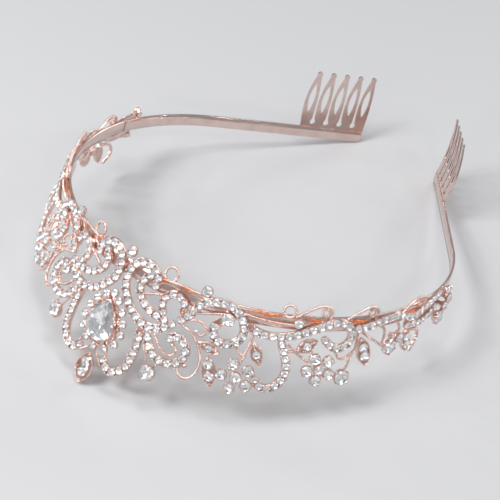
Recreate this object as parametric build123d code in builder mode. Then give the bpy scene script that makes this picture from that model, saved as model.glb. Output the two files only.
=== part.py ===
"""Bridal tiara: openwork stone-set front on a springy flat headband with two side combs."""
from build123d import *
from math import cos, degrees, radians, sin, tan
import os

# Headband, millimetres. "s" runs along the headband from its middle, "n" across its height.
band_height = 5.0
band_thickness = 1.0
front_radius = 78.0          # plan radius behind the decorated front
front_angle = 57.0           # degrees of that arc, each side
side_radius = 69.0           # plan radius round the side of the head
side_angle = 127.5           # heading of the headband once it runs straight
band_half_length = 231.0     # along the headband, middle to end
rest_tilt = 13.37            # degrees, headband plane falling towards the back at rest
rest_lift = 41.35            # height of the band's middle at the front, at rest
rest_forward = 72.6          # the band's middle at the front lies this far before the origin

# Openwork front
flare_front = 17.5           # degrees the front leans outwards at the middle
flare_length = 125.0         # the lean fades to nothing this far along
band_drop = 2.4              # the band's middle at the front lies this much below its line
drop_length = 115.0          # the drop fades to nothing this far along
metal_in = 0.15              # openwork metal, distance outside the band
metal_out = 1.35
joint_gap = 0.35             # gap left between neighbouring cast pieces
stone_seat = 1.4             # distance outside the band at which stones sit
large_stone_seat = 1.5       # the same for the stones too wide for the front's curve

# Flexing arms
flex_at = 130.0              # where each arm starts along the headband
flex_clearance = 0.3

# Combs
comb_width, comb_thickness = 29.4, 0.8
comb_bow, comb_splay = 1.75, 1.2           # outwards at the belly of the teeth and at their tips
tooth_count, tooth_pitch = 5, 6.25
tooth_top = 28.0                           # end of the tips, above the band's middle
tooth_lean = 1.6                           # tips stand this much nearer the band's end than the feet
tooth_foot, tooth_belly, tooth_neck = 2.15, 2.65, 0.8      # half widths, from the foot up
tooth_ball = 1.15
foot_height, belly_height = 3.5, 14.0
loop_low, loop_high, loop_half_width = 8.4, 22.4, 1.4      # opening in each tooth
keyhole_height, keyhole_radius = 4.8, 1.2                  # round end of the gap between two teeth

# Decoration of one side, as (s, n) points along each cast scroll
outer_scroll = [(12.9, -3.4), (12.9, -0.5), (10.9, 1.5), (8.3, 2.3), (5.6, 1.9), (3.3, 0.3), (2.1, -2.5),
                (2.0, -5.5), (2.8, -8.3), (4.4, -10.7), (6.3, -12.9), (8.6, -14.8), (11.3, -16.2),
                (14.3, -16.8), (17.4, -16.3), (20.2, -14.8), (22.5, -12.6)]
inner_scroll = [(10, -0.9), (8.1, -3.4), (8.1, -6.4), (9.8, -9), (12.4, -11), (15.4, -11.9), (19.6, -12.2)]
ring_scroll = [(18.4, -10.2), (17.2, -6.9), (18.6, -4), (21.4, -3), (24.2, -4.4), (24.9, -7.4)]
spiral_scroll = [(24.9, -10.2), (27.2, -7.6), (28.6, -4.8), (30.6, -2.2), (33.6, -0.7), (37, -0.2),
                 (40.3, -0.6), (43, -2.4), (44.8, -5.2), (45.3, -8.4), (43.9, -11.4), (41.2, -13),
                 (38.2, -12.9), (36.1, -11), (35.9, -8.4), (37.4, -6.2), (39.4, -5)]
cradle_scroll = [(13.3, -18.8), (13.6, -22), (13.7, -25.5), (13.5, -29), (12.9, -32.4), (11.3, -35.2),
                 (8.7, -36.8), (6.2, -36.2), (4.9, -34.4)]
thick_scroll = [(16.4, -20.2), (17.6, -22.6), (19.7, -24.6), (22.4, -25.7), (25.3, -25.6), (27.8, -24.2),
                (29.2, -21.6), (29.2, -18.8), (27.6, -16.7), (25.2, -16), (23.4, -17.4)]
rail_scroll = [(46.8, -5.4), (49.6, -6.6), (52.8, -7.2), (56, -7.1), (59.2, -6.5), (62.3, -5.6),
               (65.3, -4.4), (68.2, -3.1), (71.1, -1.8), (74.2, -0.5), (77.4, -0.2), (80.2, -1.6),
               (81.7, -4.4), (81, -7.5), (78.3, -9.4), (75.2, -8.9), (72.4, -6.6)]
hanging_scroll = [(58.2, -9.4), (59.6, -12.6), (60.8, -16), (61.1, -19.4), (59.9, -22.8), (57.2, -25.1),
                  (54, -25), (52.2, -22.9)]
end_rail = [(84, -2.4), (87.3, -1.9), (90.6, -1.1), (93.9, -0.1), (97.2, 0.6), (100.6, 0.6),
            (103.8, -0.4), (107, -1.4), (110.4, -1.3), (113.8, 0.0), (117, 1.0), (120.2, 1.9), (123.2, 2.8)]
end_scroll = [(109.6, -4.6), (112.8, -5.2), (116, -4.7), (119.2, -3.6), (122, -1.9)]
scroll_width = 2.7

# Beaded wires and loops
near_crown_wires = [[(11.3, -6.8), (14.1, -5.6), (15.8, -5)], [(19.9, 0.4), (23.5, 0.6), (26.8, 0.4)],
                    [(30.9, -5.6), (33.3, -4.9), (35.6, -4.2)]]
middle_crown_wires = [[(47.2, -2), (53, -2.3), (56.6, -2.2)],
                      [(62.2, 1.2), (65, 3), (68.4, 4.8), (71.6, 5.1), (73.4, 3.7), (73.2, 2)]]
far_crown_wires = [[(80.6, 1.7), (83, 3.1), (86.2, 4.8), (89.2, 5.1), (90.9, 3.7), (90.6, 1.9)],
                   [(103.8, 2), (106, 3.5), (109, 5), (112, 5.1), (113.7, 3.7), (113.4, 1.8)]]
near_rings = [(17, 2.6, 2.4)]
middle_rings = [(58.7, 2.2, 2.1), (71.1, 3, 1.3)]
far_rings = [(88.6, 3, 1.3), (111.4, 3, 1.3)]
curl_wires = [[(25.9, -11.6), (28.6, -12.6), (31.2, -14.6), (33.2, -17.6), (34.3, -21), (34.3, -24.4),
               (33, -27.2), (30.8, -28.4), (28.7, -27), (28.7, -25), (30.3, -24.3)],
              [(28.2, -8.9), (30.4, -8.4), (32.9, -9.3), (33.6, -11.6), (32.2, -13), (30.7, -12)]]
thick_wire = [(18.6, -18.4), (19.7, -20), (21.7, -22.1), (24, -23), (25.9, -22), (26.2, -20.2), (24.9, -19.2)]
finial_prongs = [[(15.9, -22.9), (17.2, -25.6), (18.6, -28.3)], [(21.9, -27.2), (21.3, -28.6)]]
drop_wires = [[(86.6, -4.6), (89.6, -6.6), (92.4, -8.4), (94.6, -10)],
              [(92.6, -2.2), (94.9, -3.8), (95.5, -6.4), (95.2, -9.4)],
              [(101.2, -3.0), (102.2, -4.8), (101.6, -6.2), (100.4, -6.6)]]
near_flower_wires = [[(48.5, -9), (48, -12), (47.4, -15), (46.8, -17.6)],
                     [(44.6, -13.9), (45.4, -15.1), (46.5, -15.4)]]
far_flower_wires = [[(84.2, -5.2), (84.1, -9), (83.1, -12.8), (82, -16.2)],
                    [(77.2, -11.5), (78.6, -13.3), (80.8, -13.3), (82.4, -11.9)]]
end_arch = [(108.4, -7.3), (111.4, -7.7), (113.8, -9.2), (114.7, -11.8), (113.9, -14.2), (112.4, -15.8)]
wire_width = 1.1

# Leaf-shaped settings: middle s, middle n, length, width, angle
near_leaves = [(36.0, -15.8, 8.2, 3.9, -12), (37.9, -23.6, 11.2, 5.0, -72), (50.9, -14.2, 9.0, 4.3, -65)]
far_leaves = [(66.6, -9.0, 8.4, 4.3, 33), (87.6, -11.4, 12.0, 5.4, -71)]
end_leaf = (107.2, -11.2, 9.6, 4.8, -78)
centre_leaf = (0, -40.3, 12.4, 7.0, -90)
leaf_stones = [(36.0, -15.9), (37.2, -21.4), (38.4, -25.2), (50.9, -14.2), (66.6, -9.0), (87.0, -9.6),
               (88.1, -13.0), (106.9, -9.4), (107.5, -12.5)]
centre_leaf_stones = [(0, -38.2), (0, -42.0)]

# Flowers, round settings and the hanging drop: middle s, middle n, size; end studs also how far out they stand
near_flower = (46.2, -23.3, 4.4, 111)
far_flower = (72.2, -17.3, 4.1, 118)
petal_radius = 2.1
near_finial, far_finial = (20.0, -31.2, 2.8), (80.6, -20.2, 2.8)
near_stud, middle_stud = (30.6, 1.9, 1.9), (62.4, -1.6, 1.3)
side_studs = [(105.8, -4.3, 1.5), (102.9, -8.8, 1.9)]
end_studs = [(126.9, 3.7, 1.8, 3.0), (127.8, 0.5, 1.8, 3.9), (125.4, -1.8, 1.8, 3.9), (122.6, -5.6, 2.6, 3.9)]
stud_post = 0.9
drop_centre, drop_radius, drop_tip = (98.8, -11.6), 2.9, (98.2, -6.4)

# Centre pear
pear_point, pear_base, pear_half_width, pear_wide_at = -14.4, -29.9, 6.0, -23.8
halo = [(0, -12.3), (2.7, -13.9), (5.3, -16.8), (6.9, -20.3), (7.6, -24.1), (6.7, -27.9), (3.9, -30.9),
        (0, -32.0), (-3.9, -30.9), (-6.7, -27.9), (-7.6, -24.1), (-6.9, -20.3), (-5.3, -16.8), (-2.7, -13.9)]
top_stud = (0, 3.2, 2.0)

# Stones
pave_radius, pave_pitch = 1.15, 2.85
halo_radius = 1.0
petal_stone_radius = 1.7
leaf_stone_radius = 1.2

ring_plane = Plane(origin=(0, -rest_forward, rest_lift), x_dir=(1, 0, 0),
                   z_dir=(0, sin(radians(rest_tilt)), cos(radians(rest_tilt))))
front_end = front_radius * radians(front_angle)
side_end = front_end + side_radius * radians(side_angle - front_angle)


def heading(s):
    """Direction of the headband at s, degrees from straight ahead to the right."""
    a = abs(s)
    if a < front_end:
        h = degrees(a / front_radius)
    else:
        h = min(side_angle, front_angle + degrees((a - front_end) / side_radius))
    return h if s >= 0 else -h


def plan(s, out=0.0):
    """Point of the headband plane at s, moved outwards by out."""
    a, h = abs(s), radians(abs(heading(s)))
    f, e = radians(front_angle), radians(side_angle)
    if a < front_end:
        x, y = front_radius * sin(h), front_radius * (1 - cos(h))
    else:
        x = front_radius * sin(f) + side_radius * (sin(h) - sin(f)) + max(0, a - side_end) * cos(e)
        y = front_radius * (1 - cos(f)) + side_radius * (cos(f) - cos(h)) + max(0, a - side_end) * sin(e)
    x, y = x + out * sin(h), y - out * cos(h)
    return (x if s >= 0 else -x, y)


def lean(s):
    """Slope by which the openwork leans outwards at s."""
    return tan(radians(flare_front * max(0, 1 - (s / flare_length) ** 2)))


def direction(x, y, n=0.0):
    """A direction of the headband plane, in the part's own axes."""
    return ring_plane.x_dir * x + ring_plane.y_dir * y + ring_plane.z_dir * n


def outward(s):
    h = radians(heading(s))
    return direction(sin(h), -cos(h))


def surface_plane(s, n, out=0.0):
    """Plane lying on the openwork at (s, n), its z pointing outwards."""
    h = radians(heading(s))
    slope = lean(s)
    x, y = plan(s, (band_height / 2 - n) * slope)
    normal = (outward(s) + ring_plane.z_dir * slope).normalized()
    origin = ring_plane.from_local_coords(Vector(x, y, n)) + normal * out
    return Plane(origin=origin, x_dir=direction(cos(h), sin(h)), z_dir=normal)


def section_plane(s):
    """Plane across the headband at s: x outwards, y up the band."""
    x, y = plan(s)
    return Plane(origin=ring_plane.from_local_coords(Vector(x, y, 0)), x_dir=outward(s),
                 z_dir=outward(s).cross(ring_plane.z_dir))


def local(s0, n0, point):
    return (point[0] - s0, (point[1] - n0) * (1 + lean(s0) ** 2) ** 0.5)


def draw_strip(points, width, mode):
    """Closed ribbon of the given width with round ends."""
    with BuildLine(mode=Mode.PRIVATE):
        middle = Spline(*points)
    count = 2 * len(points)
    sides = ([], [])
    for i in range(count + 1):
        here, along = middle @ (i / count), middle % (i / count)
        for side, sign in zip(sides, (1, -1)):
            side.append((here.X - sign * along.Y * width / 2, here.Y + sign * along.X * width / 2))
    with BuildLine() as outline:
        left = Spline(*sides[0])
        right = Spline(*sides[1])
        Line(left @ 0, right @ 0)
        Line(left @ 1, right @ 1)
    make_face(outline.edges(), mode=mode)
    with Locations(points[0], points[-1]):
        Circle(width / 2, mode=mode)


def draw_leaf(s0, n0, leaf, grow, mode):
    """Pointed oval between two arcs."""
    s, n, length, width, angle = leaf
    x, y = local(s0, n0, (s, n))
    c, k = cos(radians(angle)), sin(radians(angle))
    a, b = (length + 2 * grow) / 2, (width + 2 * grow) / 2
    with BuildLine() as outline:
        ThreePointArc((x - a * c, y - a * k), (x - b * k, y + b * c), (x + a * c, y + a * k))
        ThreePointArc((x - a * c, y - a * k), (x + b * k, y - b * c), (x + a * c, y + a * k))
    make_face(outline.edges(), mode=mode)


def draw_shape(s0, n0, shape, grow, mode):
    """One entry of a cast piece: a strip, a disc, a ring, a leaf or a drop."""
    kind = shape[0]
    if kind == "strip":
        draw_strip([local(s0, n0, p) for p in shape[1]], shape[2] + 2 * grow, mode)
    elif kind == "disc":
        with Locations(local(s0, n0, shape[1])):
            Circle(shape[2] + grow, mode=mode)
    elif kind == "ring":
        with Locations(local(s0, n0, shape[1])):
            Circle(shape[2] + wire_width / 2 + grow, mode=mode)
            if mode == Mode.ADD:
                Circle(shape[2] - wire_width / 2, mode=Mode.SUBTRACT)
    elif kind == "pear":
        draw_pear(s0, n0, shape[1] + grow, mode)
    elif kind == "leaf":
        draw_leaf(s0, n0, shape[1], grow, mode)
    elif kind == "drop":
        x, y = local(s0, n0, drop_centre)
        tip = local(s0, n0, drop_tip)
        with Locations((x, y)):
            Circle(drop_radius + grow, mode=mode)
        blunt = max(0.3, 0.3 + grow)
        with BuildLine() as outline:
            Polyline((x - drop_radius - grow, y), (tip[0] - blunt, tip[1] + grow),
                     (tip[0] + blunt, tip[1] + grow), (x + drop_radius + grow, y), close=True)
        make_face(outline.edges(), mode=mode)


def draw_pear(s0, n0, grow, mode):
    """Pear outline at the middle of the front, enlarged by grow."""
    x, y = local(s0, n0, (0, pear_wide_at))
    top = y + (pear_point - pear_wide_at) + grow * 1.3
    low = y + (pear_base - pear_wide_at) - grow
    half = pear_half_width + grow
    with BuildLine() as outline:
        for side in (1, -1):
            Spline((x, top), (x + side * half * 0.62, y + (top - y) * 0.52), (x + side * half, y),
                   tangents=((side * 0.75, -1), (0, -1)))
            ThreePointArc((x + side * half, y), (x + side * half * 0.707, y + (low - y) * 0.707), (x, low))
    make_face(outline.edges(), mode=mode)


def reach(shape):
    """Lowest and highest s of a shape."""
    if shape[0] == "strip":
        along = [p[0] for p in shape[1]]
        return min(along) - 2, max(along) + 2
    if shape[0] == "pear":
        return -10, 10
    middle = drop_centre[0] if shape[0] == "drop" else shape[1][0]
    return middle - 7, middle + 7


def row_seats(points, pitch):
    """Seats of stones spaced evenly along a scroll."""
    with BuildLine(mode=Mode.PRIVATE):
        middle = Spline(*points)
    count = max(1, round(middle.length / pitch))
    spots = [middle @ (i / count) for i in range(count + 1)]
    return [surface_plane(p.X, p.Y, stone_seat) for p in spots]


os.makedirs("parts", exist_ok=True)


def finish(part, name):
    part.label = name
    export_step(part, f"parts/{name}.step")


def sheet(stations, inner, outer, reach_low, reach_high):
    """Curved sheet following the leaning front, between two distances outside the band."""
    with BuildPart() as curved:
        for s in stations:
            with BuildSketch(section_plane(s)):
                slope = lean(s)
                high, low = reach_high(s), reach_low(s)
                with BuildLine():
                    Polyline((inner + (band_height / 2 - high) * slope, high),
                             (outer + (band_height / 2 - high) * slope, high),
                             (outer + (band_height / 2 - low) * slope, low),
                             (inner + (band_height / 2 - low) * slope, low), close=True)
                make_face()
        loft()
    return curved.part


def band_middle(s):
    """Height of the band's middle at s."""
    return -band_drop * max(0, 1 - (s / drop_length) ** 2)


# Curved sheet that every cast piece of the front is cut from
casting_sheet = sheet(range(-24, 140, 12), metal_in, metal_out, lambda s: -50, lambda s: 8)

# Headband: a decorated middle length and two springy arms
band_end = flex_at - band_thickness / 2 - flex_clearance
headband_front = sheet([band_end * i / 12 for i in range(-12, 13)], -band_thickness, 0,
                       lambda s: band_middle(s) - band_height / 2, lambda s: band_middle(s) + band_height / 2)
finish(headband_front, "headband_front")

with BuildPart() as headband_right_arm:
    with BuildSketch(ring_plane.offset(-band_height / 2)):
        with BuildLine():
            for out in (0, -band_thickness):
                ThreePointArc(plan(flex_at, out), plan((flex_at + side_end) / 2, out), plan(side_end, out))
                Line(plan(side_end, out), plan(band_half_length, out))
            for s in (flex_at, band_half_length):
                Line(plan(s, 0), plan(s, -band_thickness))
        make_face()
        with Locations(plan(flex_at, -band_thickness / 2)):
            Circle(band_thickness / 2)
    extrude(amount=band_height)
    tip = Vector(*plan(band_half_length, -band_thickness / 2), 0)
    tip = ring_plane.from_local_coords(tip)
    corners = headband_right_arm.edges().filter_by(Axis(tip, outward(band_half_length)))
    fillet(corners.sort_by_distance(tip)[:2], radius=2.2)
finish(headband_right_arm.part, "headband_right_arm")

# Comb: a bowed plate of pointed loops with ball tips, soldered along the edge of the band's end
comb_middle = band_half_length - 0.4 - comb_width / 2
with BuildPart() as right_comb:
    with BuildSketch(surface_plane(comb_middle, 0)):
        with Locations((0, foot_height + 0.1)):
            Rectangle(comb_width, 2)
        for i in range(tooth_count):
            foot = (i - (tooth_count - 1) / 2) * tooth_pitch
            belly, tip = foot + 0.4 * tooth_lean, foot + tooth_lean
            neck = tooth_top - 1.6
            with BuildLine():
                ThreePointArc((foot - tooth_foot, foot_height), (belly - tooth_belly, belly_height),
                              (tip - tooth_neck, neck))
                Line((tip - tooth_neck, neck), (tip + tooth_neck, neck))
                ThreePointArc((tip + tooth_neck, neck), (belly + tooth_belly, belly_height),
                              (foot + tooth_foot, foot_height))
                Line((foot + tooth_foot, foot_height), (foot - tooth_foot, foot_height))
            make_face()
            with Locations((tip, tooth_top - tooth_ball)):
                Circle(tooth_ball)
            with BuildLine():
                for side in (-1, 1):
                    ThreePointArc((foot + 0.3, loop_low), (belly + side * loop_half_width, belly_height + 0.6),
                                  (tip - 0.3, loop_high))
            make_face(mode=Mode.SUBTRACT)
        for i in range(tooth_count - 1):
            with Locations(((i - (tooth_count - 2) / 2) * tooth_pitch, keyhole_height)):
                Circle(keyhole_radius, mode=Mode.SUBTRACT)
    extrude(amount=6, both=True)
    with BuildSketch(section_plane(comb_middle)):
        front = -0.1
        back = front - comb_thickness
        seam = band_height / 2 + 0.05
        with BuildLine():
            Line((front, seam), (back, seam))
            ThreePointArc((back, seam), (back + comb_bow, belly_height + 0.5), (back + comb_splay, tooth_top))
            Line((back + comb_splay, tooth_top), (front + comb_splay, tooth_top))
            ThreePointArc((front + comb_splay, tooth_top), (front + comb_bow, belly_height + 0.5), (front, seam))
        make_face()
    extrude(amount=comb_width, both=True, mode=Mode.INTERSECT)
finish(right_comb.part, "right_comb")

for part, name in ((headband_right_arm.part, "headband_left_arm"), (right_comb.part, "left_comb")):
    with BuildPart() as opposite:
        mirror(part, about=Plane.YZ)
    finish(opposite.part, name)


def flower(middle):
    """A round heart with five round petals."""
    s, n, spread, turn = middle
    petals = [(s + spread * cos(radians(turn + 72 * i)), n + spread * sin(radians(turn + 72 * i)))
              for i in range(5)]
    return [("disc", (s, n), spread - 1.2)] + [("disc", petal, petal_radius) for petal in petals]


def wires(paths):
    return [("strip", path, wire_width) for path in paths]


def cut_casting(middle, shapes):
    """Cast piece cut from the curved sheet, clear of every piece already placed."""
    s0, n0 = middle
    low = min(reach(shape)[0] for shape in shapes)
    high = max(reach(shape)[1] for shape in shapes)
    near = [other for other in placed if reach(other)[0] < high and reach(other)[1] > low]
    with BuildPart() as casting:
        with BuildSketch(surface_plane(s0, n0)):
            for shape in shapes:
                draw_shape(s0, n0, shape, 0, Mode.ADD)
            for other in near:
                draw_shape(s0, n0, other, joint_gap, Mode.SUBTRACT)
        extrude(amount=7, both=True)
        add(casting_sheet, mode=Mode.INTERSECT)
    placed.extend(shapes)
    return casting.part


def gem(radius):
    """Stone with an eight-sided table, seated at z = 0."""
    with BuildPart() as stone:
        with BuildSketch():
            RegularPolygon(radius, 8)
        extrude(amount=0.3)
        with BuildSketch(Plane.XY.offset(0.3)):
            RegularPolygon(radius, 8)
        extrude(amount=0.5 * radius, taper=38)
    return stone.part


def set_stones(seats, radius):
    """One group of like stones, a separate solid at each seat."""
    stone = gem(radius)
    with BuildPart() as stones:
        with Locations(*[seat.location for seat in seats]):
            add(stone)
    return stones.part


# Centre of the front
placed = []
finish(cut_casting((0, -22), [("pear", 2.9)]), "centre_pear_setting")
finish(cut_casting((0, -40), [("leaf", centre_leaf)]), "centre_leaf")
finish(cut_casting((0, 3), [("disc", top_stud[:2], top_stud[2])]), "centre_top_stud")

with BuildPart() as pear_stone:
    for height, grow in ((stone_seat, -0.3), (stone_seat + 1.4, -0.3)):
        with BuildSketch(surface_plane(0, pear_wide_at, height)):
            draw_pear(0, pear_wide_at, grow, Mode.ADD)
    loft(ruled=True)
    for height, grow in ((stone_seat + 1.4, -0.3), (stone_seat + 3.0, -2.2)):
        with BuildSketch(surface_plane(0, pear_wide_at, height)):
            draw_pear(0, pear_wide_at, grow, Mode.ADD)
    loft(ruled=True)
finish(pear_stone.part, "centre_pear_stone")

centre_seats = [surface_plane(s, n, stone_seat) for s, n in halo + centre_leaf_stones]
finish(set_stones(centre_seats, halo_radius), "centre_small_stones")
finish(set_stones([surface_plane(*top_stud[:2], stone_seat)], top_stud[2] - 0.3), "centre_top_stone")

# Cast pieces of one side: name, sketch centre and what each is made of
pieces = [
    ("outer_scroll", (11, -8), [("strip", outer_scroll, scroll_width)]),
    ("inner_scrolls", (16, -7), [("strip", inner_scroll, 2.4), ("strip", ring_scroll, 2.2)]),
    ("spiral_scroll", (36, -7), [("strip", spiral_scroll, scroll_width)]),
    ("cradle_scroll", (10, -28), [("strip", cradle_scroll, 2.5)]),
    ("thick_scroll", (23, -21), [("strip", thick_scroll, scroll_width), ("strip", thick_wire, wire_width)]),
    ("rail_scroll", (65, -5), [("strip", rail_scroll, 2.6)]),
    ("hanging_scroll", (57, -17), [("strip", hanging_scroll, 2.6)]),
    ("end_rail", (102, -1), [("strip", end_rail, 2.6)]),
    ("near_finial", near_finial[:2], [("disc", near_finial[:2], near_finial[2])] + wires(finial_prongs)),
    ("near_flower", near_flower[:2], flower(near_flower) + wires(near_flower_wires)),
    ("far_flower", (76, -15), flower(far_flower) + [("disc", far_finial[:2], far_finial[2])]
     + wires(far_flower_wires)),
    ("near_leaves", (43, -18), [("leaf", leaf) for leaf in near_leaves]),
    ("far_leaves", (77, -10), [("leaf", leaf) for leaf in far_leaves]),
    ("drop_setting", (96, -9), [("drop",)] + wires(drop_wires)),
    ("end_spray", (116, -8), [("strip", end_scroll, 2.4), ("strip", end_arch, 1.4), ("leaf", end_leaf)]
     + [("disc", stud[:2], stud[2]) for stud in side_studs]
     + [("disc", stud[:2], stud_post + 0.4) for stud in end_studs]),
    ("near_crown", (22, 0), wires(near_crown_wires) + [("ring", ring[:2], ring[2]) for ring in near_rings]
     + [("disc", near_stud[:2], near_stud[2])]),
    ("middle_crown", (60, 1), wires(middle_crown_wires) + [("ring", ring[:2], ring[2]) for ring in middle_rings]
     + [("disc", middle_stud[:2], middle_stud[2])]),
    ("far_crown", (97, 3), wires(far_crown_wires) + [("ring", ring[:2], ring[2]) for ring in far_rings]),
    ("curl_wires", (31, -18), wires(curl_wires)),
]

side_parts = [(name, cut_casting(middle, shapes)) for name, middle, shapes in pieces]

# Cups on posts, standing out at the end of the spray
at = [name for name, _ in side_parts].index("end_spray")
with BuildPart() as end_spray:
    add(side_parts[at][1])
    for s, n, radius, out in end_studs:
        with Locations(surface_plane(s, n, metal_in + 0.3).location):
            Cylinder(stud_post, out - metal_in - 0.6, align=(Align.CENTER, Align.CENTER, Align.MIN))
        with Locations(surface_plane(s, n, out - 0.9).location):
            Cylinder(radius, 0.8, align=(Align.CENTER, Align.CENTER, Align.MIN))
side_parts[at] = ("end_spray", end_spray.part)

# Stones of one side
pave_rows = [outer_scroll, inner_scroll, ring_scroll, spiral_scroll, cradle_scroll, thick_scroll,
             rail_scroll, hanging_scroll, end_rail, end_scroll]
pave_seats = [seat for row in pave_rows for seat in row_seats(row, pave_pitch)]
petals = [shape[1] for middle in (near_flower, far_flower) for shape in flower(middle)]
side_parts.append(("pave_stones", set_stones(pave_seats, pave_radius)))
side_parts.append(("petal_stones", set_stones(
    [surface_plane(s, n, stone_seat) for s, n in petals], petal_stone_radius)))
side_parts.append(("leaf_stones", set_stones(
    [surface_plane(s, n, stone_seat) for s, n in leaf_stones], leaf_stone_radius)))
large = [(*spot, large_stone_seat) for spot in (near_finial, far_finial, near_stud, *side_studs)] + end_studs
with BuildPart() as large_stones:
    for s, n, radius, out in large:
        with Locations(surface_plane(s, n, out).location):
            add(gem(radius - 0.4))
side_parts.append(("large_stones", large_stones.part))
with BuildPart() as drop_stone:
    for height, grow in ((0, -0.5), (1.6, -1.3)):
        with BuildSketch(surface_plane(*drop_centre, large_stone_seat + height)):
            draw_shape(*drop_centre, ("drop",), grow, Mode.ADD)
    loft(ruled=True)
side_parts.append(("drop_stone", drop_stone.part))

for name, part in side_parts:
    finish(part, f"right_{name}")
    with BuildPart() as opposite:
        mirror(part, about=Plane.YZ)
    finish(opposite.part, f"left_{name}")
    print(name, len(part.solids()), round(part.volume, 1), flush=True)
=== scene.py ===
"""Looks of the bridal tiara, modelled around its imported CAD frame.

Shapes are in millimetres until mesh() scales them.
"""

from math import ceil, cos, pi, radians, sin, sqrt, tan
from random import Random

import bpy
import numpy as np
from mathutils import Matrix, Vector


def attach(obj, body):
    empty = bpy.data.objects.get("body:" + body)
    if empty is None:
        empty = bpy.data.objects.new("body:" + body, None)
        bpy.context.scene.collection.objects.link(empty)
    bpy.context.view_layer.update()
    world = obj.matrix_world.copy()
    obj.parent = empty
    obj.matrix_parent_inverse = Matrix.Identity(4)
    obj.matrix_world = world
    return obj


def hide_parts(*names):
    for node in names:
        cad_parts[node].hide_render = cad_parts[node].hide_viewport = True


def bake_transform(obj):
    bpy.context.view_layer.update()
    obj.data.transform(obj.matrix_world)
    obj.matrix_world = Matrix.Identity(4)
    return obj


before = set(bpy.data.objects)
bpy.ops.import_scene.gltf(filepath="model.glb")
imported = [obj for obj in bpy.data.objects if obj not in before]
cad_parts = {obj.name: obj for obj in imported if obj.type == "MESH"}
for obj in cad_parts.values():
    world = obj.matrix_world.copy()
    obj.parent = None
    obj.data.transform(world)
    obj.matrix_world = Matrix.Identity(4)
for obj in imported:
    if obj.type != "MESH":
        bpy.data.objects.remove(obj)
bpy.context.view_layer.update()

MM = 0.001
dice = Random(7)

# Headband and openwork front, the same dimensions as the CAD
band_height, band_thickness = 5.0, 1.0
front_radius, front_angle = 78.0, radians(57)
side_radius, side_angle = 69.0, radians(127.5)
band_half_length = 231.0
rest_tilt, rest_lift, rest_forward = radians(13.37), 41.35, 72.6
flare_front, flare_length = 17.5, 125.0
band_drop, drop_length = 2.4, 115.0
flex_at = 130.0

# Visual strip: its soft edge, the length of its facets, its round ends, how far its seam lies before the
# hinge and how far its bend reaches to both sides of the hinge
strip_edge, strip_facet = 0.16, 1.5
end_radius, end_facets = 2.2, 8
seam_before_hinge, bend_reach = 12, 8

# Settings: how far out their backs, floors, rims and stones stand; a stud above post_above stands on a post
cast_back, cup_floor = 0.12, 0.38
row_rim, row_seat = 1.42, 1.44
petal_seat, heart_seat, leaf_seat, halo_seat, stud_seat = 1.45, 1.8, 1.72, 1.72, 1.6
tall_seat, pear_seat, drop_seat = 2.1, 2.62, 1.5
post_above, stud_post_inset = 2.5, 0.9

# Stones: how much smaller than their cups they and the rings of their claws are, by how much the outlines of
# two may overlap, and how far they tilt
stone_inset, claw_inset = 0.2, 0.25
stone_overlap, stone_tilt = 0.25, 0.035

# Decoration of one side, as (s, n) points along each cast scroll
outer_scroll = [(12.9, -3.4), (12.9, -0.5), (10.9, 1.5), (8.3, 2.3), (5.6, 1.9), (3.3, 0.3), (2.1, -2.5),
                (2.0, -5.5), (2.8, -8.3), (4.4, -10.7), (6.3, -12.9), (8.6, -14.8), (11.3, -16.2),
                (14.3, -16.8), (17.4, -16.3), (20.2, -14.8), (22.5, -12.6)]
inner_scroll = [(10, -0.9), (8.1, -3.4), (8.1, -6.4), (9.8, -9), (12.4, -11), (15.4, -11.9), (19.6, -12.2)]
ring_scroll = [(18.4, -10.2), (17.2, -6.9), (18.6, -4), (21.4, -3), (24.2, -4.4), (24.9, -7.4)]
spiral_scroll = [(24.9, -10.2), (27.2, -7.6), (28.6, -4.8), (30.6, -2.2), (33.6, -0.7), (37, -0.2),
                 (40.3, -0.6), (43, -2.4), (44.8, -5.2), (45.3, -8.4), (43.9, -11.4), (41.2, -13),
                 (38.2, -12.9), (36.1, -11), (35.9, -8.4), (37.4, -6.2), (39.4, -5)]
cradle_scroll = [(13.3, -18.8), (13.6, -22), (13.7, -25.5), (13.5, -29), (12.9, -32.4), (11.3, -35.2),
                 (8.7, -36.8), (6.2, -36.2), (4.9, -34.4)]
thick_scroll = [(16.4, -20.2), (17.6, -22.6), (19.7, -24.6), (22.4, -25.7), (25.3, -25.6), (27.8, -24.2),
                (29.2, -21.6), (29.2, -18.8), (27.6, -16.7), (25.2, -16), (23.4, -17.4)]
rail_scroll = [(46.8, -5.4), (49.6, -6.6), (52.8, -7.2), (56, -7.1), (59.2, -6.5), (62.3, -5.6),
               (65.3, -4.4), (68.2, -3.1), (71.1, -1.8), (74.2, -0.5), (77.4, -0.2), (80.2, -1.6),
               (81.7, -4.4), (81, -7.5), (78.3, -9.4), (75.2, -8.9), (72.4, -6.6)]
hanging_scroll = [(58.2, -9.4), (59.6, -12.6), (60.8, -16), (61.1, -19.4), (59.9, -22.8), (57.2, -25.1),
                  (54, -25), (52.2, -22.9)]
end_rail = [(84, -2.4), (87.3, -1.9), (90.6, -1.1), (93.9, -0.1), (97.2, 0.6), (100.6, 0.6),
            (103.8, -0.4), (107, -1.4), (110.4, -1.3), (113.8, 0.0), (117, 1.0), (120.2, 1.9), (123.2, 2.8)]
end_scroll = [(109.6, -4.6), (112.8, -5.2), (116, -4.7), (119.2, -3.6), (122, -1.9)]

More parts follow.
